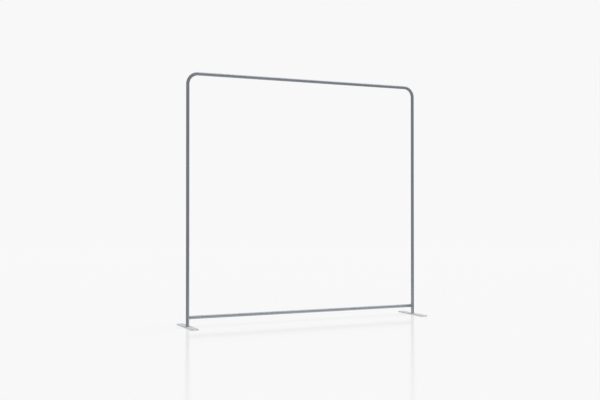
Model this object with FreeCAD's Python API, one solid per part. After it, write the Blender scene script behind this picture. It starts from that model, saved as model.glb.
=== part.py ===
"""Free-standing tube frame of a display wall.

Two uprights, a top rail with bent corners and a low bottom rail, all in one size of aluminium tube. The frame
comes apart into eight tubes. At each plug-in joint a spigot is riveted into one tube, and a spring button in the
spigot snaps through a hole at the back of the other tube. Each upright stands on a flat steel foot that turns on
a countersunk bolt, which is held by a captive nut in the plug at the upright's lower end.

Millimetres. The origin is on the floor, midway between the uprights. +X runs along the frame to the right of
someone in front of it, +Y points to the back and +Z points up.
"""

import FreeCAD
import Part

import math
import os

from FreeCAD import Vector

# Overall sizes of the frame
FRAME_WIDTH = 2400.0  # over the outer faces of the uprights
FRAME_HEIGHT = 2300.0  # from the floor to the top of the top rail
SEAM_HEIGHT = 1450.0  # plug-in joint of each upright, above the floor
RAIL_HEIGHT = 86.0  # centre line of the bottom rail, above the floor
BEND_RADIUS = 97.0  # centre line of the bent corners
ARM_STRAIGHT = 190.0  # straight stretch of a corner tube between its bend and the top rail

# Frame tube
TUBE_OD = 30.0
TUBE_WALL = 1.5
TUBE_EDGE = 0.5  # chamfer round a tube's ends
WELD_GAP = 0.05  # between an upright and the coped end of its rail stub

# Spigots of the plug-in joints
SPIGOT_FIT = 0.1  # radial gap to the tube
SPIGOT_WALL = 2.0
SPIGOT_GRIP = 80.0  # length inside each of the two tubes
SPIGOT_EDGE = 1.0
STUB_SPARE = 20.0  # bore of a rail stub left free behind its spigot

# Spring buttons
BUTTON_DIAMETER = 8.0
BUTTON_FIT = 0.2  # radial gap in the holes
BUTTON_STAND = 3.0  # height above the tube
BUTTON_DOME = 2.0  # height of the rounded top
BUTTON_FROM_SEAM = 30.0
TAIL_DIAMETER = 4.0  # riveted tail that holds the button in its spring
TAIL_HEAD_DIAMETER = 5.6
TAIL_HEAD_HEIGHT = 1.0

# Leaf springs of the buttons
SPRING_WIDTH = 6.0
SPRING_THICKNESS = 0.6
SPRING_REACH = 45.0  # from the button to the turn of the strip
SPRING_PAD = 11.0  # flat length at each end of the strip
SPRING_TURN = 4.0  # centre-line radius of the turn
SPRING_FIT = 0.05  # gap between the strip and what it touches

# Blind rivets of the spigots
RIVET_DIAMETER = 3.2
RIVET_FIT = 0.05  # radial gap in the holes
RIVET_HEAD_DIAMETER = 6.5
RIVET_HEAD_HEIGHT = 1.1
RIVET_BULB_DIAMETER = 4.6
RIVET_BULB_HEIGHT = 2.5
RIVET_FROM_SEAM = 40.0

# Feet
FOOT_LENGTH = 450.0
FOOT_WIDTH = 70.0
FOOT_THICKNESS = 8.0
FOOT_CORNER = 12.0
FOOT_EDGE = 0.8  # chamfer round the upper face

# Plugs in the lower ends of the uprights, each with a captive nut
PLUG_FIT = 0.1  # radial gap to the tube
PLUG_FLANGE = 2.0  # flange between the upright and the foot
PLUG_WEB = 4.0  # floor of the plug under the nut
PLUG_DEPTH = 30.0  # length inside the tube
NUT_RIM = 2.5  # metal between the thread and a flat
NUT_HEIGHT = 6.5
NUT_FIT = 0.1  # gap between the nut's flats and its pocket

# Countersunk bolts, on which the feet turn
BOLT_DIAMETER = 8.0
BOLT_HEAD_OVERHANG = 4.0  # how far the head reaches past the thread
BOLT_HEAD_RIM = 0.6
BOLT_RECESS = 0.5  # head's face above the floor
BOLT_SPARE = 3.0  # thread that shows past the nut
BOLT_TIP = 1.0  # chamfer at the thread's end
BOLT_SOCKET_FLATS = 5.0
BOLT_SOCKET_DEPTH = 3.0
BOLT_FIT = 0.2  # radial gap in the foot and in the plug
THREAD_FIT = 0.05  # radial gap in the nut

# Sizes that follow from those above
TUBE_RADIUS = TUBE_OD / 2
TUBE_BORE = TUBE_RADIUS - TUBE_WALL
SPIGOT_RADIUS = TUBE_BORE - SPIGOT_FIT
SPIGOT_BORE = SPIGOT_RADIUS - SPIGOT_WALL
POST_X = FRAME_WIDTH / 2 - TUBE_RADIUS
TOP_Z = FRAME_HEIGHT - TUBE_RADIUS
ARM_END_X = POST_X - BEND_RADIUS - ARM_STRAIGHT
STUB_END_X = POST_X - TUBE_RADIUS - STUB_SPARE - SPIGOT_GRIP
POST_FOOT_Z = FOOT_THICKNESS + PLUG_FLANGE
PAD_TOP = math.sqrt(SPIGOT_BORE**2 - (SPRING_WIDTH / 2) ** 2) - SPRING_FIT
BOLT_RADIUS = BOLT_DIAMETER / 2
BOLT_HEAD_RADIUS = BOLT_RADIUS + BOLT_HEAD_OVERHANG
BOLT_CONE_Z = BOLT_RECESS + BOLT_HEAD_RIM
BOLT_NECK_Z = BOLT_CONE_Z + BOLT_HEAD_OVERHANG
NUT_FLATS = BOLT_DIAMETER + 2 * NUT_RIM
NUT_Z = FOOT_THICKNESS + PLUG_WEB
BOLT_END_Z = NUT_Z + NUT_HEIGHT + BOLT_SPARE

UP = Vector(0, 0, 1)
BACK = Vector(0, 1, 0)
RIGHT = Vector(1, 0, 0)
SIDES = {"left": -1, "right": 1}
QUARTER_TURN = 90.0
CUT_MARGIN = 1.0  # how far a cutter runs past the face that it cuts


def inward(side):
    """Direction from one upright towards the middle of the frame."""
    return RIGHT * -side


def placed(shape, origin, along):
    """Moves a shape from its own axes to the frame: its X axis along the tube and its Y axis to the back."""
    across = along.cross(BACK)
    matrix = FreeCAD.Matrix(
        along.x, BACK.x, across.x, origin.x,
        along.y, BACK.y, across.y, origin.y,
        along.z, BACK.z, across.z, origin.z,
        0, 0, 0, 1,
    )
    shape.Placement = FreeCAD.Placement(matrix).multiply(shape.Placement)
    return shape


def turned(outline, axis):
    """Solid of revolution of a closed outline in the XY plane, about an axis through the origin."""
    return Part.Face(Part.Wire(outline)).revolve(Vector(0, 0, 0), axis, 360)


def polyline(points):
    """Straight edges from each point to the next."""
    return [Part.LineSegment(a, b).toShape() for a, b in zip(points, points[1:])]


def pipe(radius, bore, length, near_edge, far_edge):
    """Round pipe along X from the origin, with a chamfer round each end, or none where its size is 0."""
    near = [Vector(0, radius - near_edge, 0), Vector(near_edge, radius, 0)]
    far = [Vector(length - far_edge, radius, 0), Vector(length, radius - far_edge, 0)]
    points = [Vector(0, bore, 0)]
    points += near if near_edge else near[:1]
    points += far if far_edge else far[:1]
    points += [Vector(length, bore, 0), points[0]]
    return turned(polyline(points), RIGHT)


def tube(start, along, length, near_edge=TUBE_EDGE, far_edge=TUBE_EDGE):
    """One straight length of frame tube."""
    return placed(pipe(TUBE_RADIUS, TUBE_BORE, length, near_edge, far_edge), start, along)


def hexagon(flats, height, floor):
    """Upright six-sided prism round the Z axis."""
    corner = flats / math.sqrt(3)
    points = [
        Vector(corner * math.cos(k * math.pi / 3), corner * math.sin(k * math.pi / 3), floor) for k in range(7)
    ]
    return Part.Face(Part.Wire(polyline(points))).extrude(UP * height)


def dome_edge(radius, base, height):
    """Arc from the rim of a dome to its top, in the XY plane, for turning about the Y axis."""
    ball = (radius**2 + height**2) / (2 * height)
    middle = math.asin(radius / ball) / 2
    centre = base + height - ball
    on_arc = Vector(ball * math.sin(middle), centre + ball * math.cos(middle), 0)
    return Part.Arc(Vector(radius, base, 0), on_arc, Vector(0, base + height, 0)).toShape()


def turn_edge(start, middle_x):
    """Arc across the X axis from a point to its mirror image."""
    return Part.Arc(start, Vector(middle_x, 0, 0), flipped(start)).toShape()


def flipped(point):
    """A point's mirror image across the X axis."""
    return Vector(point.x, -point.y, point.z)


def offset(points, distance):
    """Open line in the XY plane moved to its left by a distance, with mitred corners."""
    normals = [UP.cross(b - a).normalize() for a, b in zip(points, points[1:])]
    moved = []
    for point, before, after in zip(points, normals[:1] + normals, normals + normals[-1:]):
        miter = (before + after).normalize()
        moved.append(point + miter * (distance / miter.dot(before)))
    return moved


class Joint:
    """A plug-in joint: the seam between two tubes, and the direction from the riveted tube to the free one."""

    def __init__(self, seam, along):
        self.seam = seam
        self.along = along

    def place(self, shape):
        """Moves a shape from the joint's own axes to the frame."""
        return placed(shape, self.seam, self.along)

    def bore(self, distance, radius):
        """Cutter for a round hole in the back wall, at a distance from the seam."""
        reach = TUBE_RADIUS + CUT_MARGIN
        return self.place(Part.makeCylinder(radius, reach, Vector(distance, 0, 0), BACK))

    def button_bore(self):
        """Cutter for the button's hole, in the free tube."""
        return self.bore(BUTTON_FROM_SEAM, BUTTON_DIAMETER / 2 + BUTTON_FIT)

    def rivet_bore(self):
        """Cutter for the rivet's hole, in the riveted tube."""
        return self.bore(-RIVET_FROM_SEAM, RIVET_DIAMETER / 2 + RIVET_FIT)

    def spigot(self):
        """Inner sleeve across the seam, with a hole for its rivet and one for its button."""
        sleeve = pipe(SPIGOT_RADIUS, SPIGOT_BORE, 2 * SPIGOT_GRIP, SPIGOT_EDGE, SPIGOT_EDGE)
        sleeve = placed(sleeve, self.seam - self.along * SPIGOT_GRIP, self.along)
        return sleeve.cut([self.button_bore(), self.rivet_bore()])

    def button(self):
        """Round button with a domed top and a tail that is riveted through the spring."""
        radius = BUTTON_DIAMETER / 2
        tail = TAIL_DIAMETER / 2
        tail_head = TAIL_HEAD_DIAMETER / 2
        top = TUBE_RADIUS + BUTTON_STAND
        shoulder = PAD_TOP + SPRING_FIT
        under = PAD_TOP - SPRING_THICKNESS - SPRING_FIT
        points = [
            Vector(0, top, 0),
            Vector(0, under - TAIL_HEAD_HEIGHT, 0),
            Vector(tail_head, under - TAIL_HEAD_HEIGHT, 0),
            Vector(tail_head, under, 0),
            Vector(tail, under, 0),
            Vector(tail, shoulder, 0),
            Vector(radius, shoulder, 0),
            Vector(radius, top - BUTTON_DOME, 0),
        ]
        outline = polyline(points) + [dome_edge(radius, top - BUTTON_DOME, BUTTON_DOME)]
        solid = turned(outline, BACK)
        solid.translate(RIGHT * BUTTON_FROM_SEAM)
        return self.place(solid)

    def spring(self):
        """Strip bent like a hairpin inside the spigot: one arm carries the button, the other bears on the wall."""
        pad = PAD_TOP - SPRING_THICKNESS / 2
        turn = BUTTON_FROM_SEAM - SPRING_REACH
        arm = [
            Vector(turn, SPRING_TURN, 0),
            Vector(BUTTON_FROM_SEAM - SPRING_PAD / 2, pad, 0),
            Vector(BUTTON_FROM_SEAM + SPRING_PAD / 2, pad, 0),
        ]
        outer = offset(arm, SPRING_THICKNESS / 2)
        inner = offset(arm, -SPRING_THICKNESS / 2)
        edges = polyline(outer[::-1])
        edges.append(turn_edge(outer[0], turn - SPRING_TURN - SPRING_THICKNESS / 2))
        edges += polyline([flipped(p) for p in outer] + [flipped(p) for p in inner[::-1]])
        edges.append(turn_edge(flipped(inner[0]), turn - SPRING_TURN + SPRING_THICKNESS / 2))
        edges += polyline(inner + [outer[-1]])
        strip = Part.Face(Part.Wire(edges)).extrude(Vector(0, 0, SPRING_WIDTH))
        strip.translate(Vector(0, 0, -SPRING_WIDTH / 2))
        tail_radius = TAIL_DIAMETER / 2 + SPRING_FIT
        hole = Part.makeCylinder(tail_radius, PAD_TOP + CUT_MARGIN, Vector(BUTTON_FROM_SEAM, 0, 0), BACK)
        return self.place(strip.cut(hole))

    def rivet(self):
        """Set blind rivet through the tube and the spigot."""
        shank = RIVET_DIAMETER / 2
        bulb = RIVET_BULB_DIAMETER / 2
        bulb_top = math.sqrt(SPIGOT_BORE**2 - bulb**2)
        points = [
            Vector(0, TUBE_RADIUS + RIVET_HEAD_HEIGHT, 0),
            Vector(0, bulb_top - RIVET_BULB_HEIGHT, 0),
            Vector(bulb, bulb_top - RIVET_BULB_HEIGHT, 0),
            Vector(bulb, bulb_top, 0),
            Vector(shank, bulb_top, 0),
            Vector(shank, TUBE_RADIUS, 0),
            Vector(RIVET_HEAD_DIAMETER / 2, TUBE_RADIUS, 0),
        ]
        outline = polyline(points) + [dome_edge(RIVET_HEAD_DIAMETER / 2, TUBE_RADIUS, RIVET_HEAD_HEIGHT)]
        solid = turned(outline, BACK)
        solid.translate(RIGHT * -RIVET_FROM_SEAM)
        return self.place(solid)


def lower_upright(side, joints):
    """Upright from the plug's flange to the seam."""
    start = Vector(side * POST_X, 0, POST_FOOT_Z)
    return tube(start, UP, SEAM_HEIGHT - POST_FOOT_Z).cut(joints["upright"].rivet_bore())


def corner_tube(side, joints):
    """Upper part of an upright, its bend and the first stretch of the top rail, in one bent tube."""
    bend_start = Vector(side * POST_X, 0, TOP_Z - BEND_RADIUS)
    bend_centre = bend_start + inward(side) * BEND_RADIUS
    bend_end = bend_centre + UP * BEND_RADIUS
    leg_start = Vector(side * POST_X, 0, SEAM_HEIGHT)
    leg = tube(leg_start, UP, bend_start.z - SEAM_HEIGHT, far_edge=0)
    arm = tube(bend_end, inward(side), ARM_STRAIGHT, near_edge=0)
    wall = Part.Face([
        Part.Wire(Part.makeCircle(TUBE_RADIUS, bend_start, UP)),
        Part.Wire(Part.makeCircle(TUBE_BORE, bend_start, UP).reversed()),
    ])
    bend = wall.revolve(bend_centre, BACK, -side * QUARTER_TURN)
    whole = leg.fuse([bend, arm])
    return whole.cut([joints["upright"].button_bore(), joints["top"].rivet_bore()])


def rail_tube(side, start_x, height, end_joint, middle_joint):
    """Half of a rail, from its outer joint to the middle of the frame."""
    half = tube(Vector(side * start_x, 0, height), inward(side), start_x)
    middle_bore = middle_joint.rivet_bore() if side < 0 else middle_joint.button_bore()
    return half.cut([end_joint.button_bore(), middle_bore])


def rail_stub(side, joints):
    """Short tube welded to the upright, its end coped to fit round the upright."""
    blank = pipe(TUBE_RADIUS, TUBE_BORE, POST_X - STUB_END_X, 0, TUBE_EDGE)
    cope = Part.makeCylinder(TUBE_RADIUS + WELD_GAP, 2 * TUBE_OD, UP * -TUBE_OD)
    stub = placed(blank.cut(cope), Vector(side * POST_X, 0, RAIL_HEIGHT), inward(side))
    return stub.cut(joints["rail"].rivet_bore())


def at_foot(shape, side):
    """Moves a shape from the Z axis to an upright's axis."""
    shape.translate(RIGHT * side * POST_X)
    return shape


def upright_turned(points):
    """Solid of revolution about the Z axis of a closed outline given as radius and height."""
    outline = [Vector(radius, 0, height) for radius, height in points]
    return Part.Face(Part.Wire(polyline(outline + outline[:1]))).revolve(Vector(0, 0, 0), UP, 360)


def foot_plate(side):
    """Flat bar with rounded corners, across the frame, with a countersunk hole in its middle."""
    x = FOOT_WIDTH / 2
    y = FOOT_LENGTH / 2
    blank = Part.makeBox(FOOT_WIDTH, FOOT_LENGTH, FOOT_THICKNESS, Vector(-x, -y, 0))
    uprights = [e for e in blank.Edges if abs(e.BoundBox.ZLength - FOOT_THICKNESS) < FOOT_THICKNESS / 2]
    blank = blank.makeFillet(FOOT_CORNER, uprights)
    rim = [e for e in blank.Edges if e.BoundBox.ZMin > FOOT_THICKNESS / 2]
    blank = blank.makeChamfer(FOOT_EDGE, rim)
    hole = upright_turned([
        (0, -CUT_MARGIN),
        (BOLT_HEAD_RADIUS + BOLT_FIT, -CUT_MARGIN),
        (BOLT_HEAD_RADIUS + BOLT_FIT, BOLT_CONE_Z),
        (BOLT_RADIUS + BOLT_FIT, BOLT_NECK_Z),
        (BOLT_RADIUS + BOLT_FIT, FOOT_THICKNESS + CUT_MARGIN),
        (0, FOOT_THICKNESS + CUT_MARGIN),
    ])
    return at_foot(blank.cut(hole), side)


def foot_plug(side):
    """Plug in the upright's lower end, with a flange under the tube and a six-sided pocket for the nut."""
    body = TUBE_BORE - PLUG_FIT
    plug = upright_turned([
        (BOLT_RADIUS + BOLT_FIT, FOOT_THICKNESS),
        (TUBE_RADIUS, FOOT_THICKNESS),
        (TUBE_RADIUS, POST_FOOT_Z),
        (body, POST_FOOT_Z),
        (body, POST_FOOT_Z + PLUG_DEPTH),
        (BOLT_RADIUS + BOLT_FIT, POST_FOOT_Z + PLUG_DEPTH),
    ])
    pocket = hexagon(NUT_FLATS + 2 * NUT_FIT, POST_FOOT_Z + PLUG_DEPTH, NUT_Z)
    return at_foot(plug.cut(pocket), side)


def foot_nut(side):
    """Six-sided nut that the plug keeps from turning."""
    bore = Part.makeCylinder(BOLT_RADIUS + THREAD_FIT, NUT_HEIGHT, UP * NUT_Z)
    return at_foot(hexagon(NUT_FLATS, NUT_HEIGHT, NUT_Z).cut(bore), side)


def foot_bolt(side):
    """Countersunk bolt with a six-sided socket in its head."""
    bolt = upright_turned([
        (0, BOLT_RECESS),
        (BOLT_HEAD_RADIUS, BOLT_RECESS),
        (BOLT_HEAD_RADIUS, BOLT_CONE_Z),
        (BOLT_RADIUS, BOLT_NECK_Z),
        (BOLT_RADIUS, BOLT_END_Z - BOLT_TIP),
        (BOLT_RADIUS - BOLT_TIP, BOLT_END_Z),
        (0, BOLT_END_Z),
    ])
    socket = hexagon(BOLT_SOCKET_FLATS, BOLT_SOCKET_DEPTH + CUT_MARGIN, BOLT_RECESS - CUT_MARGIN)
    return at_foot(bolt.cut(socket), side)


def side_joints(side):
    """The three plug-in joints on one side of the frame."""
    return {
        "upright": Joint(Vector(side * POST_X, 0, SEAM_HEIGHT), UP),
        "top": Joint(Vector(side * ARM_END_X, 0, TOP_Z), inward(side)),
        "rail": Joint(Vector(side * STUB_END_X, 0, RAIL_HEIGHT), inward(side)),
    }


def main():
    middle = {
        "top": Joint(Vector(0, 0, TOP_Z), RIGHT),
        "rail": Joint(Vector(0, 0, RAIL_HEIGHT), RIGHT),
    }
    joints = {f"middle_{name}": joint for name, joint in middle.items()}
    nodes = {}
    for name, side in SIDES.items():
        own = side_joints(side)
        joints.update({f"{name}_{key}": joint for key, joint in own.items()})
        nodes[f"{name}_lower_upright"] = lower_upright(side, own)
        nodes[f"{name}_corner_tube"] = corner_tube(side, own)
        nodes[f"{name}_top_rail"] = rail_tube(side, ARM_END_X, TOP_Z, own["top"], middle["top"])
        nodes[f"{name}_bottom_rail"] = rail_tube(side, STUB_END_X, RAIL_HEIGHT, own["rail"], middle["rail"])
        nodes[f"{name}_rail_stub"] = rail_stub(side, own)
        nodes[f"{name}_foot_plate"] = foot_plate(side)
        nodes[f"{name}_foot_plug"] = foot_plug(side)
        nodes[f"{name}_foot_nut"] = foot_nut(side)
        nodes[f"{name}_foot_bolt"] = foot_bolt(side)
    for name, joint in joints.items():
        nodes[f"{name}_spigot"] = joint.spigot()
        nodes[f"{name}_button"] = joint.button()
        nodes[f"{name}_spring"] = joint.spring()
    nodes["spigot_rivets"] = Part.makeCompound([joint.rivet() for joint in joints.values()])
    os.makedirs("parts", exist_ok=True)
    for name, shape in nodes.items():
        shape.exportStep(f"parts/{name}.step")
        print(f"{name}: {len(shape.Solids)} solid, valid {shape.isValid()}, {shape.Volume / 1000:.2f} cm3")


if __name__ == "__main__":
    main()
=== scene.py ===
"""Looks of the free-standing tube frame of a display wall.

The CAD solids keep their shapes and get their finishes here. Weld beads are added where the bottom rail
meets the uprights, and bent leaf springs and set blind rivets take the place of their plainer solids. A pale
stage with soft light and a camera completes the scene. Metres, in the CAD model's own axes: +X to the right
of someone in front of the frame, +Y to the back, +Z up from the floor.
"""

import math

import bmesh
import bpy
from bpy.props import FloatProperty, FloatVectorProperty, IntProperty, PointerProperty
from mathutils import Matrix, Vector


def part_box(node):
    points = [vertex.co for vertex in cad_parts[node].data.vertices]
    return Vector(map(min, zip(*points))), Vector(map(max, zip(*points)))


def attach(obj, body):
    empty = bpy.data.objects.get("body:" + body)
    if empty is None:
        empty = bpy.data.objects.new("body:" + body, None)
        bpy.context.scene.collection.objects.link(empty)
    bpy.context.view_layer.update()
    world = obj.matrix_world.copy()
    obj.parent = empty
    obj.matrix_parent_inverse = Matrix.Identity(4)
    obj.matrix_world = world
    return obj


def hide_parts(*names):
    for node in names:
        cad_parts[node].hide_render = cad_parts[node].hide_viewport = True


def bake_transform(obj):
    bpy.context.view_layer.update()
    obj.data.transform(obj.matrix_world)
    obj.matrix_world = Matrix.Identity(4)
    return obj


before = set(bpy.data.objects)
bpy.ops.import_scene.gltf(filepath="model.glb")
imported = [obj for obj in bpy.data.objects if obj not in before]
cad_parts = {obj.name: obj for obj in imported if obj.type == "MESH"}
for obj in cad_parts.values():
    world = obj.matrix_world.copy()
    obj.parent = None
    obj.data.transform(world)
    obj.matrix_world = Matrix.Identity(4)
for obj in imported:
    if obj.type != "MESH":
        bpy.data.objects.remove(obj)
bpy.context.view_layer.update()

bl_info = {
    "name": "Display wall frame",
    "version": (1, 0, 0),
    "blender": (4, 5, 0),
    "location": "3D View > Sidebar > Display frame",
    "description": "Finishes, welds, springs, rivets and studio stage of a display wall's tube frame",
    "category": "Object",
}

FLOOR_HALF_WIDTH = 200
SENSOR_WIDTH = 36  # of the camera, in millimetres
FAR_CLIP = 500
UP = Vector((0, 0, 1))
BACK = Vector((0, 1, 0))
RIGHT = Vector((1, 0, 0))
SIDES = {"left": -1, "right": 1}
MM = 0.001


def middle(node):
    """Centre of a CAD node's box."""
    low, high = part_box(node)
    return (low + high) / 2


def top_corner(node):
    """Highest corner of a CAD node's box."""
    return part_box(node)[1]


# Places of the frame, read from its solids
POST_X = middle("right_lower_upright").x
TOP_Z = middle("right_top_rail").z
RAIL_Z = middle("right_bottom_rail").z
UPRIGHT_SEAM_Z = top_corner("right_lower_upright").z
UPRIGHT_FOOT_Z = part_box("right_lower_upright")[0].z
TOP_SEAM_X = top_corner("right_top_rail").x
RAIL_SEAM_X = top_corner("right_bottom_rail").x
TUBE_RADIUS = round(top_corner("right_lower_upright").x - POST_X, 4)
FOOT_HALF_WIDTH = top_corner("right_foot_plate").x - POST_X
FOOT_HALF_LENGTH = top_corner("right_foot_plate").y
FOOT_TOP = top_corner("right_foot_plate").z


def plug_in_joints():
    """Seam and direction of each plug-in joint, from the riveted tube to the tube that slides on."""
    places = {}
    for name, side in SIDES.items():
        places[f"{name}_upright"] = (Vector((side * POST_X, 0, UPRIGHT_SEAM_Z)), UP)
        places[f"{name}_top"] = (Vector((side * TOP_SEAM_X, 0, TOP_Z)), RIGHT * -side)
        places[f"{name}_rail"] = (Vector((side * RAIL_SEAM_X, 0, RAIL_Z)), RIGHT * -side)
    places["middle_top"] = (Vector((0, 0, TOP_Z)), RIGHT)
    places["middle_rail"] = (Vector((0, 0, RAIL_Z)), RIGHT)
    return places


def joint_axes(seam, along):
    """Matrix from a joint's own axes, X along the tube and Y to the back, to the frame."""
    turn = Matrix((along, BACK, along.cross(BACK))).transposed()
    return Matrix.Translation(seam) @ turn.to_4x4()


# Settings that a user may change


def length(name, description, default):
    """A size in metres."""
    return FloatProperty(
        name=name, description=description, default=default, min=0, unit="LENGTH", precision=5
    )


def colour(name, description, default):
    """A plain linear colour."""
    return FloatVectorProperty(
        name=name, description=description, default=default, size=3, min=0, max=1, subtype="COLOR"
    )


def share(name, description, default):
    """A number from 0 to 1."""
    return FloatProperty(
        name=name, description=description, default=default, min=0, max=1, subtype="FACTOR"
    )


def strength(name, description, default):
    """Brightness of a lamp."""
    return FloatProperty(name=name, description=description, default=default, min=0)


def angle(name, description, degrees):
    """An angle, given in degrees."""
    return FloatProperty(
        name=name, description=description, default=math.radians(degrees), subtype="ANGLE"
    )


def direction(name, description, default):
    """A direction in the frame's axes."""
    return FloatVectorProperty(
        name=name, description=description, default=default, size=3, subtype="DIRECTION"
    )


class TubeFinish(bpy.types.PropertyGroup):
    """Anodised finish of the frame tubes."""

    grey: colour("Anodised grey", "Colour of the frame tubes", (0.178, 0.188, 0.213))
    bare: colour("Cut edge", "Colour of the bare metal at the tubes' cut ends", (0.48, 0.488, 0.50))
    roughness: share("Roughness", "Roughness of the satin finish", 0.36)
    line_width: length("Line width", "Width of the fine lines left by drawing the tube", 0.0005)
    line_length: length("Line length", "Length of the fine lines left by drawing the tube", 0.18)
    bend_radius: length("Bend radius", "Centre-line radius of the bends, which the lines follow", 0.097)


class WeldSizes(bpy.types.PropertyGroup):
    """Beads between the uprights and the stubs of the bottom rail."""

    corner_width: length("Width in the corners", "Half width of the bead above and below the stub", 0.0027)
    side_width: length("Width at the sides", "Half width of the bead in front and behind", 0.0019)
    corner_height: length("Height in the corners", "How far the bead stands out above and below", 0.0019)
    side_height: length("Height at the sides", "How far the bead stands out in front and behind", 0.0009)
    ripples: IntProperty(name="Ripples", description="Number of ripples round one bead", default=84, min=1)
    grey: colour("Bead grey", "Colour of the bead", (0.205, 0.213, 0.235))


class JointHardware(bpy.types.PropertyGroup):
    """Spigots, spring buttons, leaf springs and rivets of the plug-in joints."""

    zinc: colour("Zinc plate", "Colour of the plated buttons, bolts and nuts", (0.56, 0.57, 0.585))
    mill: colour("Mill finish", "Colour of the plain aluminium spigots", (0.66, 0.67, 0.68))
    rivet: colour("Rivet", "Colour of the aluminium rivets", (0.52, 0.525, 0.53))
    steel: colour("Spring steel", "Colour of the tempered leaf springs", (0.23, 0.225, 0.225))
    spring_width: length("Spring width", "Width of the leaf spring's strip", 0.006)
    spring_thickness: length("Spring thickness", "Thickness of the leaf spring's strip", 0.0006)
    spring_reach: length("Spring reach", "From the button to the turn of the strip", 0.045)
    spring_pad: length("Spring pad", "Flat length under the button", 0.011)
    spring_turn: length("Spring turn", "Radius of the strip's turn", 0.004)
    button_from_seam: length("Button from seam", "Distance of the button from the seam", 0.030)
    rivet_from_seam: length("Rivet from seam", "Distance of the rivet from the seam", 0.040)


class FootFinish(bpy.types.PropertyGroup):
    """Powder coat of the foot plates, and the moulded plugs above them."""

    coat: colour("Powder coat", "Colour of the foot plates", (0.585, 0.595, 0.61))
    steel: colour("Worn edge", "Colour of the steel where the coat is worn off", (0.36, 0.36, 0.365))
    nylon: colour("Plug", "Colour of the moulded plugs", (0.25, 0.255, 0.265))
    grain: length("Coat grain", "Size of the coat's fine texture", 0.0012)


class StageSetup(bpy.types.PropertyGroup):
    """Floor, background, light and camera."""

    background: colour("Background", "Colour of the floor and of the background", (0.939, 0.939, 0.939))
    sky: share("Sky", "Even light from all round", 0.48)
    key_towards: direction("Key light", "Where the key light comes from", (0.50, 0.05, 0.86))
    key_strength: strength("Key strength", "Brightness of the key light", 1.5)
    key_spread: angle("Key spread", "Apparent size of the key light", 50)
    fill_towards: direction("Fill light", "Where the fill light comes from", (0.25, -0.40, 0.88))
    fill_strength: strength("Fill strength", "Brightness of the fill light", 0.2)
    fill_spread: angle("Fill spread", "Apparent size of the fill light", 60)
    bounce: strength("Floor bounce", "Brightness of the light that the floor throws up", 0.95)
    bounce_width: length("Bounce width", "Width of the floor that throws light up", 2.4)
    bounce_depth: length("Bounce depth", "Depth of the floor that throws light up", 1.6)
    bounce_forward: length("Bounce place", "How far in front of the frame its middle lies", 0.4)
    floor_glow: share("Floor glow", "Share of the floor's tone that the frame's shadow doesn't reach", 0.7)
    shine: share("Floor shine", "Share of the floor's mirror reflection", 0.4)
    polish: share("Floor roughness", "Roughness of the floor's mirror reflection", 0.12)
    camera_place: FloatVectorProperty(
        name="Camera place",
        description="Where the camera stands",
        default=(-3.6460, -7.6467, 1.0712),
        subtype="TRANSLATION",
    )
    camera_heading: angle("Camera heading", "Turn of the camera to the right of straight ahead", 25.062)
    camera_tilt: angle("Camera tilt", "Tilt of the camera above the horizon", 0.517)
    camera_lens: FloatProperty(
        name="Camera lens",
        description="Focal length in millimetres on a sensor 36 mm wide",
        default=53.193,
        min=1,
    )


class DisplayFrameSettings(bpy.types.PropertyGroup):
    """All settings of the display frame."""

    tube: PointerProperty(type=TubeFinish)
    weld: PointerProperty(type=WeldSizes)
    hardware: PointerProperty(type=JointHardware)
    foot: PointerProperty(type=FootFinish)
    stage: PointerProperty(type=StageSetup)


# Nodes of materials and of the world


class Socket:
    """A node's output. Arithmetic on it adds Math nodes to the same tree."""

    def __init__(self, nodes, output):
        self.nodes = nodes
        self.output = output

    def math(self, operation, *values):
        """Adds a Math node on these values."""
        return self.nodes.add("Math", {"operation": operation}, dict(enumerate(values)))

    def __add__(self, other):
        return self.math("ADD", self, other)

    def __radd__(self, other):
        return self.math("ADD", other, self)

    def __sub__(self, other):
        return self.math("SUBTRACT", self, other)

    def __rsub__(self, other):
        return self.math("SUBTRACT", other, self)

    def __mul__(self, other):
        return self.math("MULTIPLY", self, other)

    def __rmul__(self, other):
        return self.math("MULTIPLY", other, self)

    def __truediv__(self, other):
        return self.math("DIVIDE", self, other)

    def __rtruediv__(self, other):
        return self.math("DIVIDE", other, self)

    def __gt__(self, other):
        return self.math("GREATER_THAN", self, other)

    def __lt__(self, other):
        return self.math("LESS_THAN", self, other)

    def __abs__(self):
        return self.math("ABSOLUTE", self)

    def at_least(self, other):
        """The larger of the two."""
        return self.math("MAXIMUM", self, other)

    def at_most(self, other):
        """The smaller of the two."""
        return self.math("MINIMUM", self, other)

    def root(self):
        """Square root."""
        return self.math("SQRT", self)

    def angle_to(self, other):
        """Angle of the point that has other as its first coordinate and this as its second."""
        return self.math("ARCTAN2", self, other)

    def rise(self, low, high):
        """Smooth step from 0 at low to 1 at high. With low above high it falls instead."""
        limits = {"Value": self, "From Min": low, "From Max": high}
        return self.nodes.add("MapRange", {"interpolation_type": "SMOOTHSTEP"}, limits)

    def stretched(self):
        """Soft noise about 0.5, stretched to run from 0 to 1."""
        return self.rise(0.3, 0.7)

    def about(self, amount):
        """Noise about 0.5 as a change of up to half this amount up or down."""
        return (self - 0.5) * amount


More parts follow.
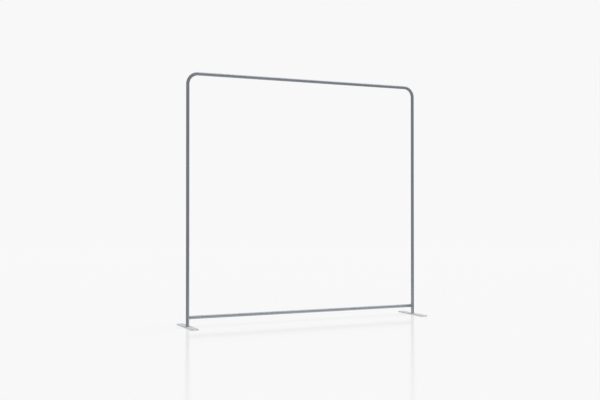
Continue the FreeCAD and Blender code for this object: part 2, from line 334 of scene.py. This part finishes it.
class Nodes:
    """A node tree that is being filled."""

    def __init__(self, tree):
        self.tree = tree
        tree.nodes.clear()

    def add(self, kind, settings=None, sockets=None, out=0):
        """Adds a node of a type, with its settings set first, then the values or links of its sockets."""
        node = self.tree.nodes.new("ShaderNode" + kind)
        for name, value in (settings or {}).items():
            setattr(node, name, value)
        for key, value in (sockets or {}).items():
            if isinstance(value, Socket):
                self.tree.links.new(value.output, node.inputs[key])
            else:
                node.inputs[key].default_value = value
        return Socket(self, node.outputs[out]) if node.outputs else None

    def split(self, vector):
        """The three coordinates of a vector."""
        first = self.add("SeparateXYZ", sockets={0: vector})
        return [Socket(self, output) for output in first.output.node.outputs]

    def vector(self, x, y, z):
        """A vector from three values."""
        return self.add("CombineXYZ", sockets={"X": x, "Y": y, "Z": z})

    def scaled(self, vector, factor):
        """A vector times a number."""
        return self.add("VectorMath", {"operation": "SCALE"}, {0: vector, "Scale": factor})

    def noise(self, vector, detail=2.0, roughness=0.5):
        """Soft noise about 0.5 that changes over one unit of the vector."""
        sockets = {"Vector": vector, "Scale": 1.0, "Detail": detail, "Roughness": roughness}
        return self.add("TexNoise", sockets=sockets)

    def mix(self, factor, first, second):
        """Colour between two colours."""
        return self.add("Mix", {"data_type": "RGBA"}, {0: factor, 6: first, 7: second}, out=2)

    def bump(self, height, depth):
        """Surface normal of a height, whose full range is a depth in metres."""
        return self.add("Bump", sockets={"Height": height, "Distance": depth, "Strength": 1.0})


class Finish(Nodes):
    """A material of one surface."""

    def __init__(self, name):
        self.material = bpy.data.materials.new(name)
        self.material.use_nodes = True
        super().__init__(self.material.node_tree)
        self.place = self.add("TexCoord", out="Object")

    def speckle(self, per_metre, detail, roughness=0.5):
        """Noise that changes this many times per metre, alike in every direction."""
        return self.noise(self.scaled(self.place, per_metre), detail, roughness)

    def shaded(self, tone, roughness, normal, **constants):
        """Ends the material with its shader. The constants are its other sockets, with _ for spaces."""
        sockets = {"Base Color": tone, "Roughness": roughness, "Normal": normal}
        sockets.update({name.replace("_", " "): value for name, value in constants.items()})
        shader = self.add("BsdfPrincipled", sockets=sockets)
        self.add("OutputMaterial", sockets={"Surface": shader})
        return self.material


def rgba(tone, factor=1.0):
    """A colour setting as a socket value, made lighter or darker by a factor."""
    return (*(min(1.0, part * factor) for part in tone), 1.0)


# Finishes. Noise is scaled in changes per metre, and limits are in metres unless they are those of a noise.

RIGHT_HALF_SHIFT = 3.7  # along the tubes, so that the right half doesn't mirror the left one
RUBBED_END = 0.007  # stretch of a tube's end that plugging together has rubbed
SWIVEL_MARK = 0.0185  # radius of the mark that the upright leaves on its foot
SCUFF_REACH = 0.034  # radius up to which the foot is scuffed round its upright
SCRATCH_SLANT = 0.18  # slope of the scratches across the feet
FLOOR_FADE = (12, 25)  # distances between which the floor turns into the plain background
FLOOR_IOR = 1.33


def anodised_tube(looks, hoop):
    """Satin anodised tube, with fine lines along it, faint bands, hairlines and rubbed, bare-edged ends.

    The hoop is the two uprights and the top rail with its bends. The other tubes are the bottom rail's.
    """
    finish = Finish("anodised_hoop" if hoop else "anodised_low_rail")
    x, y, z = finish.split(finish.place)
    side = abs(x)
    bend_x = POST_X - looks.bend_radius
    bend_z = TOP_Z - looks.bend_radius
    if hoop:
        outward = (side - bend_x).at_least(0)
        upward = (z - bend_z).at_least(0)
        across = (outward * outward + upward * upward).root() - looks.bend_radius
        round_bend = upward.angle_to(outward) * looks.bend_radius
        along = (z - bend_z).at_most(0) + round_bend + (bend_x - side).at_least(0)
        rail_middle = looks.bend_radius * math.pi / 2 + bend_x
        seams = (UPRIGHT_FOOT_Z - bend_z, UPRIGHT_SEAM_Z - bend_z, rail_middle - TOP_SEAM_X, rail_middle)
    else:
        across = z - RAIL_Z
        along = side
        seams = (RAIL_SEAM_X, 0.0)
    from_seam = abs(along - seams[0])
    for seam in seams[1:]:
        from_seam = from_seam.at_most(abs(along - seam))
    run = along + (x > 0) * RIGHT_HALF_SHIFT

    def drawn(across_scale, run_scale, detail, roughness=0.5):
        """Noise with a scale of its own across the tube and another along it."""
        place = finish.vector(across * across_scale, y * across_scale, run * run_scale)
        return finish.noise(place, detail, roughness)

    lines = drawn(1 / looks.line_width, 1 / looks.line_length, detail=3)
    bands = drawn(55, 2.3, detail=3)
    haze = drawn(24, 9, detail=4, roughness=0.6)
    strands = drawn(520, 4, detail=0)
    patchy = drawn(480, 260, detail=3)
    hairlines = abs(strands - 0.5).rise(0.02, 0.004) * haze.rise(0.58, 0.68)
    rubbed = from_seam.rise(RUBBED_END, 0.0002) * patchy.rise(0.42, 0.72)
    radius = (across * across + y * y).root()
    bare = radius.rise(TUBE_RADIUS * 0.9955, TUBE_RADIUS * 0.988) * from_seam.rise(0.0014, 0.0009)
    tone = finish.mix(bands.rise(0.25, 0.75), rgba(looks.grey, 0.95), rgba(looks.grey, 1.05))
    tone = finish.mix(lines.rise(0.35, 0.75) * 0.35, tone, rgba(looks.grey, 1.25))
    tone = finish.mix(hairlines * 0.35, tone, rgba(looks.grey, 1.8))
    tone = finish.mix(rubbed * 0.22, tone, rgba(looks.bare, 0.8))
    tone = finish.mix(bare, tone, rgba(looks.bare))
    roughness = looks.roughness + haze.about(0.22) + lines.about(0.10) - rubbed * 0.06 - bare * 0.08
    normal = finish.bump(lines - hairlines * 0.6, 0.00003)
    return finish.shaded(tone, roughness, normal, Metallic=0.92)


def welded_bead(looks):
    """Brushed and anodised weld, lighter and darker in clouds, with fine pits."""
    finish = Finish("welded_bead")
    cloud = finish.speckle(900, detail=3)
    pits = finish.speckle(3200, detail=1)
    tone = finish.mix(cloud.stretched(), rgba(looks.grey, 0.8), rgba(looks.grey, 1.2))
    roughness = 0.42 + cloud.about(0.3)
    normal = finish.bump(cloud + pits * 0.4, 0.00008)
    return finish.shaded(tone, roughness, normal, Metallic=0.9)


def mill_finish(looks):
    """Plain extruded aluminium of the spigots, with lines along the tube and oxide haze."""
    finish = Finish("mill_finish")
    x, y, z = finish.split(finish.place)
    cloud = finish.speckle(140, detail=4)
    grain = finish.noise(finish.vector(x * 300, y * 1800, z * 300), detail=3)
    tone = finish.mix(cloud.stretched(), rgba(looks.mill, 0.85), rgba(looks.mill, 1.08))
    roughness = 0.36 + cloud.about(0.2) + grain.about(0.12)
    return finish.shaded(tone, roughness, finish.bump(grain, 0.00003), Metallic=1.0)


def zinc_plate(looks, turned):
    """Zinc-plated steel with a faint crystal haze. A turned piece has fine rings round its own axis."""
    finish = Finish("zinc_turned" if turned else "zinc_plate")
    cloud = finish.speckle(420, detail=3)
    crystals = finish.speckle(2600, detail=2)
    tone = finish.mix(cloud.stretched(), rgba(looks.zinc, 0.86), rgba(looks.zinc, 1.10))
    roughness = 0.27 + cloud.about(0.18) + crystals.about(0.10)
    height = crystals * 0.4
    if turned:
        u, v, w = finish.split(finish.add("TexCoord", out="Generated"))
        off_axis = ((u - 0.5) * (u - 0.5) + (w - 0.5) * (w - 0.5)).root()
        rings = finish.noise(finish.vector(off_axis * 60, v * 40, 0.0), detail=2)
        worn_top = off_axis.rise(0.30, 0.05) * v.rise(0.80, 0.97)
        tone = finish.mix(worn_top * 0.5, tone, rgba(looks.zinc, 1.3))
        roughness = roughness + rings.about(0.16) - worn_top * 0.06
        height = height + rings * 0.6
    return finish.shaded(tone, roughness, finish.bump(height, 0.00003), Metallic=1.0)


def rivet_aluminium(looks):
    """Pressed aluminium of the blind rivets, dulled by setting them."""
    finish = Finish("rivet_aluminium")
    cloud = finish.speckle(800, detail=3)
    dents = finish.speckle(2400, detail=2)
    tone = finish.mix(cloud.stretched(), rgba(looks.rivet, 0.80), rgba(looks.rivet, 1.15))
    roughness = 0.40 + cloud.about(0.25)
    return finish.shaded(tone, roughness, finish.bump(dents, 0.00005), Metallic=1.0)


def tempered_strip(looks):
    """Tempered spring steel, with a straw and blue tint in clouds and rolling lines along the strip."""
    finish = Finish("tempered_strip")
    x, y, z = finish.split(finish.place)
    cloud = finish.speckle(160, detail=3)
    rolled = finish.noise(finish.vector(x * 500, y * 2600, z * 500), detail=2)
    straw = (looks.steel[0] * 1.35, looks.steel[1] * 1.15, looks.steel[2] * 0.8)
    blue = (looks.steel[0] * 0.72, looks.steel[1] * 0.85, looks.steel[2] * 1.25)
    tone = finish.mix(cloud.rise(0.35, 0.65), rgba(straw), rgba(blue))
    roughness = 0.33 + rolled.about(0.2)
    return finish.shaded(tone, roughness, finish.bump(rolled, 0.00002), Metallic=1.0)


def powder_coat(looks):
    """Fine-textured powder coat of the feet, with rubbed edges, scuffs and a mark round the swivel."""
    finish = Finish("powder_coat")
    x, y, z = finish.split(finish.place)
    across = abs(x) - POST_X
    peel = finish.speckle(1 / looks.grain, detail=2)
    fleck = finish.speckle(3.2 / looks.grain, detail=1)
    dust = finish.speckle(26, detail=5, roughness=0.6)
    patchy = finish.speckle(260, detail=3)
    to_rim = (FOOT_HALF_WIDTH - abs(across)).at_most(FOOT_HALF_LENGTH - abs(y))
    worn = to_rim.rise(0.0008, 0.0002) * patchy.rise(0.50, 0.72) * z.rise(FOOT_TOP * 0.80, FOOT_TOP * 0.97)
    off_axis = (across * across + y * y).root()
    swivel = off_axis.rise(SWIVEL_MARK, TUBE_RADIUS + 0.5 * MM) * patchy.rise(0.30, 0.60)
    round_axis = finish.vector(off_axis * 1400, y.angle_to(across) * 5, 0.0)
    arcs = abs(finish.noise(round_axis, detail=1) - 0.5).rise(0.03, 0.01)
    scuffs = arcs * off_axis.rise(SCUFF_REACH, TUBE_RADIUS + MM) * dust.rise(0.45, 0.60)
    upper = z.rise(FOOT_TOP * 0.90, FOOT_TOP * 0.98)
    with_stroke = across + y * SCRATCH_SLANT
    past_stroke = y - across * SCRATCH_SLANT
    strokes = finish.noise(finish.vector(with_stroke * 22, past_stroke * 900, 0.0), detail=0)
    scratches = abs(strokes - 0.5).rise(0.014, 0.004) * dust.rise(0.56, 0.66) * upper
    tone = finish.mix(dust.stretched(), rgba(looks.coat, 0.94), rgba(looks.coat, 1.04))
    tone = finish.mix(fleck.rise(0.60, 0.72) * 0.35, tone, rgba(looks.coat, 0.80))
    marks = (swivel * 0.35 + scuffs * 0.3 + scratches * 0.3).at_most(1)
    tone = finish.mix(marks, tone, rgba(looks.coat, 0.72))
    tone = finish.mix(worn * 0.6, tone, rgba(looks.steel))
    roughness = 0.48 + dust.about(0.2) + peel.about(0.15) - worn * 0.12
    normal = finish.bump(peel + fleck * 0.3 - scratches * 0.25, 0.00022)
    return finish.shaded(tone, roughness, normal, Metallic=worn * 0.8)


def moulded_nylon(looks):
    """Grey moulded nylon of the plugs, with a fine spark-eroded texture."""
    finish = Finish("moulded_nylon")
    spark = finish.speckle(1500, detail=3)
    flow = finish.speckle(90, detail=3)
    tone = finish.mix(flow.stretched(), rgba(looks.nylon, 0.88), rgba(looks.nylon, 1.15))
    roughness = 0.52 + spark.about(0.2)
    return finish.shaded(tone, roughness, finish.bump(spark, 0.00006), Specular_IOR_Level=0.4)


def studio_floor(stage, light):
    """Pale floor that matches the background under this much light, with a weak shadow and reflection."""
    finish = Finish("studio_floor")
    x, y, _ = finish.split(finish.place)
    matt = finish.add("BsdfDiffuse", sockets={"Color": rgba(stage.background, 1 / light)})
    glow = finish.add("Emission", sockets={"Color": rgba(stage.background), "Strength": 1.0})
    mirror = finish.add("BsdfGlossy", sockets={"Color": (1, 1, 1, 1), "Roughness": stage.polish})
    fades_from, plain_from = FLOOR_FADE
    near = (x * x + y * y).root().rise(plain_from, fades_from)
    plain = finish.add("MixShader", sockets={0: 1 - near * (1 - stage.floor_glow), 1: matt, 2: glow})
    grazing = finish.add("Fresnel", sockets={"IOR": FLOOR_IOR}) * near * stage.shine
    surface = finish.add("MixShader", sockets={0: grazing, 1: plain, 2: mirror})
    finish.add("OutputMaterial", sockets={"Surface": surface})
    return finish.material


def studio_world(stage):
    """Even light from all round, with the plain background wherever it is seen or mirrored."""
    world = bpy.data.worlds.new("studio")
    world.use_nodes = True
    nodes = Nodes(world.node_tree)
    camera_ray = nodes.add("LightPath", out="Is Camera Ray")
    glossy_ray = nodes.add("LightPath", out="Is Glossy Ray")
    clear_ray = nodes.add("LightPath", out="Is Transmission Ray")
    shown = camera_ray.at_least(glossy_ray).at_least(clear_ray)
    lit = nodes.add("Background", sockets={"Color": (1, 1, 1, 1), "Strength": stage.sky})
    seen = nodes.add("Background", sockets={"Color": rgba(stage.background), "Strength": 1.0})
    surface = nodes.add("MixShader", sockets={0: shown, 1: lit, 2: seen})
    nodes.add("OutputWorld", sockets={"Surface": surface})
    return world


# Making of the pieces


def dress(material, *nodes):
    """Gives CAD nodes their finish."""
    for name in nodes:
        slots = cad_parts[name].data.materials
        slots.clear()
        slots.append(material)


def skin(mesh, rings, loop=False):
    """Faces from ring to ring of points. A loop joins the last to the first, else the ends are filled."""
    corners = [[mesh.verts.new(point) for point in ring] for ring in rings]
    following = corners[1:] + corners[:1] if loop else corners[1:]
    for ring, after in zip(corners, following):
        for k in range(len(ring)):
            mesh.faces.new((ring[k - 1], ring[k], after[k], after[k - 1]))
    if not loop:
        mesh.faces.new(corners[0])
        mesh.faces.new(corners[-1])


def made_piece(name, mesh, material, crease_degrees):
    """Object from a finished mesh, smooth but for creases sharper than an angle."""
    bmesh.ops.recalc_face_normals(mesh, faces=mesh.faces)
    data = bpy.data.meshes.new(name)
    mesh.to_mesh(data)
    mesh.free()
    data.shade_smooth()
    data.set_sharp_from_angle(angle=math.radians(crease_degrees))
    data.materials.append(material)
    piece = bpy.data.objects.new(name, data)
    bpy.context.scene.collection.objects.link(piece)
    return piece


def weld_bead(name, side, sizes, material):
    """Rippled bead along the line where a rail stub meets its upright."""
    per_ripple = 6
    around = 14
    blunt = 0.2  # rounds the line off where the two tubes meet tangentially
    root = 0.7 * MM  # how far the bead reaches into the tubes
    ripple_swell = 0.07  # of the bead's size
    ripple_lag = 1.3  # radians by which a ripple's crest and ends are out of step
    edge_swell = 0.3  # share of a ripple that is left at the bead's edges
    steps = sizes.ripples * per_ripple
    centre = Vector((side * POST_X, 0, RAIL_Z))
    inward = RIGHT * -side
    turns = [2 * math.pi * k / steps for k in range(steps)]
    line = []
    for turn in turns:
        reach = TUBE_RADIUS * math.sqrt(math.sin(turn) ** 2 + blunt**2)
        line.append(centre + inward * reach + (BACK * math.cos(turn) + UP * math.sin(turn)) * TUBE_RADIUS)
    walked = [0.0]
    for before, after in zip(line, line[1:] + line[:1]):
        walked.append(walked[-1] + (after - before).length)
    rings = []
    for k, (turn, point) in enumerate(zip(turns, line)):
        off_post = point - centre
        off_post.z = 0
        out = (off_post.normalized() + BACK * math.cos(turn) + UP * math.sin(turn)).normalized()
        forward = line[(k + 1) % steps] - line[k - 1]
        beside = forward.cross(out).normalized()
        corner = math.sin(turn) ** 2
        width = sizes.side_width + (sizes.corner_width - sizes.side_width) * corner
        height = sizes.side_height + (sizes.corner_height - sizes.side_height) * corner
        ring = []
        for j in range(around):
            swing = 2 * math.pi * j / around
            crest = max(0.0, math.sin(swing))
            phase = 2 * math.pi * sizes.ripples * walked[k] / walked[-1] + ripple_lag * math.cos(swing) ** 2
            swell = 1 + ripple_swell * math.sin(phase) * (edge_swell + (1 - edge_swell) * crest)
            lift = math.sin(swing) * (height if crest > 0 else root)
            ring.append(point + (beside * math.cos(swing) * width + out * lift) * swell)
        rings.append(ring)
    mesh = bmesh.new()
    skin(mesh, rings, loop=True)
    return made_piece(name, mesh, material, crease_degrees=60)


def rounded(points, times):
    """Open line with its corners cut off again and again, so that it bends smoothly."""
    for _ in range(times):
        cut = [points[0]]
        for before, after in zip(points, points[1:]):
            cut += [before.lerp(after, 0.25), before.lerp(after, 0.75)]
        points = cut + [points[-1]]
    return points


def leaf_spring(joint, seam, along, sizes, material):
    """Hairpin of flat strip inside a spigot.

    Its rear arm bends with the button, and its front arm bears on the wall.
    """
    pad = top_corner(f"{joint}_spring").y - sizes.spring_thickness / 2
    button = sizes.button_from_seam
    turn = button - sizes.spring_reach
    rear = [
        Vector((button + sizes.spring_pad / 2, pad, 0)),
        Vector((button - sizes.spring_pad / 2, pad, 0)),
        Vector((turn + sizes.spring_turn * 0.5, sizes.spring_turn * 1.08, 0)),
    ]
    bend = []
    for degrees in range(0, 181, 30):
        swing = math.radians(degrees)
        reach = turn - math.sin(swing) * sizes.spring_turn
        bend.append(Vector((reach, math.cos(swing) * sizes.spring_turn, 0)))
    front = [Vector((point.x, -point.y, 0)) for point in reversed(rear)]
    line = rounded(rear + bend + front, times=3)
    half = sizes.spring_width / 2
    thick = sizes.spring_thickness / 2
    edge = 0.15 * MM
    outline = []
    for across, up in ((1, 1), (-1, 1), (-1, -1), (1, -1)):
        rim = (across * half, up * (thick - edge))
        face = (across * (half - edge), up * thick)
        outline += [rim, face] if across == up else [face, rim]
    axes = joint_axes(seam, along)
    rings = []
    for k, point in enumerate(line):
        forward = line[min(k + 1, len(line) - 1)] - line[max(k - 1, 0)]
        normal = UP.cross(forward).normalized()
        rings.append([axes @ (point + UP * across + normal * up) for across, up in outline])
    mesh = bmesh.new()
    skin(mesh, rings)
    piece = made_piece(f"{joint}_leaf", mesh, material, crease_degrees=40)
    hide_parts(f"{joint}_spring")
    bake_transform(piece)
    return piece


def blind_rivets(joints, sizes, material):
    """Set blind rivets: a domed head round the tube, with the broken stem in it, and a bulb inside."""
    # Profile from the head's middle to the bulb's end: radius and height over the tube, in millimetres
    head = ((0.45, 0.44), (0.86, 0.50), (0.95, 0.62), (0.97, 0.98), (1.08, 1.08), (1.4, 1.10))
    dome = ((1.9, 1.04), (2.4, 0.86), (2.85, 0.58), (3.12, 0.33), (3.25, 0.10))
    seat = ((3.25, 0.0), (1.6, 0.0))
    shank = ((1.6, -3.75), (2.1, -3.9), (2.3, -4.4), (2.2, -5.4), (1.7, -6.1), (0.9, -6.33))
    around = 32
    mesh = bmesh.new()
    for seam, along in joints.values():
        axes = joint_axes(seam - along * sizes.rivet_from_seam, along)
        rings = []
        for radius, height in head + dome + seat + shank:
            on_tube = (radius, height) in dome + seat
            ring = []
            for k in range(around):
                swing = 2 * math.pi * k / around
                across = radius * math.sin(swing) * MM
                wrap = math.sqrt(TUBE_RADIUS**2 - across**2) - TUBE_RADIUS if on_tube else 0
                place = (radius * math.cos(swing) * MM, TUBE_RADIUS + height * MM + wrap, across)
                ring.append(axes @ Vector(place))
            rings.append(ring)
        skin(mesh, rings)
    return made_piece("blind_rivets", mesh, material, crease_degrees=50)


def sun_lamp(name, towards, energy, spread):
    """Soft sun from a direction. Gives the light that it throws on the floor."""
    towards = Vector(towards).normalized()
    lamp = bpy.data.lights.new(name, "SUN")
    lamp.energy = energy
    lamp.angle = spread
    holder = bpy.data.objects.new(name, lamp)
    holder.rotation_mode = "QUATERNION"
    holder.rotation_quaternion = towards.to_track_quat("Z", "Y")
    bpy.context.scene.collection.objects.link(holder)
    return energy * towards.z / math.pi


def floor_bounce(stage):
    """Lamp that lies level with the uprights' lower ends and shines up, unseen by the camera."""
    lamp = bpy.data.lights.new("bounce", "AREA")
    lamp.shape = "RECTANGLE"
    lamp.size = stage.bounce_width
    lamp.size_y = stage.bounce_depth
    lamp.energy = stage.bounce * math.pi * stage.bounce_width * stage.bounce_depth
    holder = bpy.data.objects.new("bounce", lamp)
    holder.location = UP * UPRIGHT_FOOT_Z - BACK * stage.bounce_forward
    holder.rotation_euler.x = math.pi
    holder.visible_camera = False
    bpy.context.scene.collection.objects.link(holder)


# Operators


class DISPLAYFRAME_OT_tubes(bpy.types.Operator):
    """Finish the frame tubes"""

    bl_idname = "displayframe.tubes"
    bl_label = "Frame tubes"

    def execute(self, context):
        looks = context.scene.display_frame.tube
        hoop = anodised_tube(looks, True)
        low_rail = anodised_tube(looks, False)
        for side in SIDES:
            dress(hoop, f"{side}_lower_upright", f"{side}_corner_tube", f"{side}_top_rail")
            dress(low_rail, f"{side}_bottom_rail", f"{side}_rail_stub")
        return {"FINISHED"}


class DISPLAYFRAME_OT_welds(bpy.types.Operator):
    """Add the weld beads between the bottom rail's stubs and the uprights"""

    bl_idname = "displayframe.welds"
    bl_label = "Weld beads"

    def execute(self, context):
        sizes = context.scene.display_frame.weld
        material = welded_bead(sizes)
        for name, side in SIDES.items():
            bead = weld_bead(f"{name}_weld_bead", side, sizes, material)
            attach(bead, "frame")
        return {"FINISHED"}


class DISPLAYFRAME_OT_spigots(bpy.types.Operator):
    """Finish the spigots and their spring buttons"""

    bl_idname = "displayframe.spigots"
    bl_label = "Spigots and buttons"

    def execute(self, context):
        looks = context.scene.display_frame.hardware
        mill = mill_finish(looks)
        zinc = zinc_plate(looks, True)
        for joint in plug_in_joints():
            dress(mill, f"{joint}_spigot")
            dress(zinc, f"{joint}_button")
        return {"FINISHED"}


class DISPLAYFRAME_OT_springs(bpy.types.Operator):
    """Add the leaf springs that carry the buttons"""

    bl_idname = "displayframe.springs"
    bl_label = "Leaf springs"

    def execute(self, context):
        sizes = context.scene.display_frame.hardware
        material = tempered_strip(sizes)
        for joint, (seam, along) in plug_in_joints().items():
            leaf_spring(joint, seam, along, sizes, material)
        return {"FINISHED"}


class DISPLAYFRAME_OT_rivets(bpy.types.Operator):
    """Add the blind rivets that hold the spigots"""

    bl_idname = "displayframe.rivets"
    bl_label = "Blind rivets"

    def execute(self, context):
        sizes = context.scene.display_frame.hardware
        rivets = blind_rivets(plug_in_joints(), sizes, rivet_aluminium(sizes))
        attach(rivets, "frame")
        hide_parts("spigot_rivets")
        return {"FINISHED"}


class DISPLAYFRAME_OT_feet(bpy.types.Operator):
    """Finish the foot plates with their plugs, nuts and bolts"""

    bl_idname = "displayframe.feet"
    bl_label = "Feet"

    def execute(self, context):
        settings = context.scene.display_frame
        coat = powder_coat(settings.foot)
        nylon = moulded_nylon(settings.foot)
        zinc = zinc_plate(settings.hardware, False)
        for side in SIDES:
            dress(coat, f"{side}_foot_plate")
            dress(nylon, f"{side}_foot_plug")
            dress(zinc, f"{side}_foot_nut", f"{side}_foot_bolt")
        return {"FINISHED"}


class DISPLAYFRAME_OT_stage(bpy.types.Operator):
    """Set up the floor, the soft light and the camera"""

    bl_idname = "displayframe.stage"
    bl_label = "Stage"

    def execute(self, context):
        scene = context.scene
        stage = scene.display_frame.stage
        light = stage.sky
        light += sun_lamp("key", stage.key_towards, stage.key_strength, stage.key_spread)
        light += sun_lamp("fill", stage.fill_towards, stage.fill_strength, stage.fill_spread)
        floor_bounce(stage)
        mesh = bmesh.new()
        bmesh.ops.create_grid(mesh, x_segments=8, y_segments=8, size=FLOOR_HALF_WIDTH)
        floor = made_piece("floor", mesh, studio_floor(stage, light), crease_degrees=30)
        scene.world = studio_world(stage)
        camera = bpy.data.cameras.new("camera")
        camera.sensor_width = SENSOR_WIDTH
        camera.lens = stage.camera_lens
        camera.clip_end = FAR_CLIP
        holder = bpy.data.objects.new("camera", camera)
        holder.location = stage.camera_place
        holder.rotation_euler = (math.pi / 2 + stage.camera_tilt, 0, -stage.camera_heading)
        scene.collection.objects.link(holder)
        scene.camera = holder
        scene.view_settings.view_transform = "Standard"
        return {"FINISHED"}


OPERATORS = (
    DISPLAYFRAME_OT_tubes,
    DISPLAYFRAME_OT_welds,
    DISPLAYFRAME_OT_spigots,
    DISPLAYFRAME_OT_springs,
    DISPLAYFRAME_OT_rivets,
    DISPLAYFRAME_OT_feet,
    DISPLAYFRAME_OT_stage,
)


class DISPLAYFRAME_PT_looks(bpy.types.Panel):
    """Settings and steps of the display frame"""

    bl_label = "Display frame"
    bl_space_type = "VIEW_3D"
    bl_region_type = "UI"
    bl_category = "Display frame"

    def draw(self, context):
        settings = context.scene.display_frame
        for operator in OPERATORS:
            self.layout.operator(operator.bl_idname)
        for group in ("tube", "weld", "hardware", "foot", "stage"):
            box = self.layout.box()
            box.label(text=group.capitalize())
            values = getattr(settings, group)
            for name in type(values).__annotations__:
                box.prop(values, name)


GROUPS = (TubeFinish, WeldSizes, JointHardware, FootFinish, StageSetup, DisplayFrameSettings)
CLASSES = GROUPS + OPERATORS + (DISPLAYFRAME_PT_looks,)


def register():
    for item in CLASSES:
        bpy.utils.register_class(item)
    bpy.types.Scene.display_frame = PointerProperty(type=DisplayFrameSettings)


def unregister():
    del bpy.types.Scene.display_frame
    for item in reversed(CLASSES):
        bpy.utils.unregister_class(item)


def main():
    register()
    for operator in OPERATORS:
        group, name = operator.bl_idname.split(".")
        getattr(getattr(bpy.ops, group), name)()


if __name__ == "__main__":
    main()
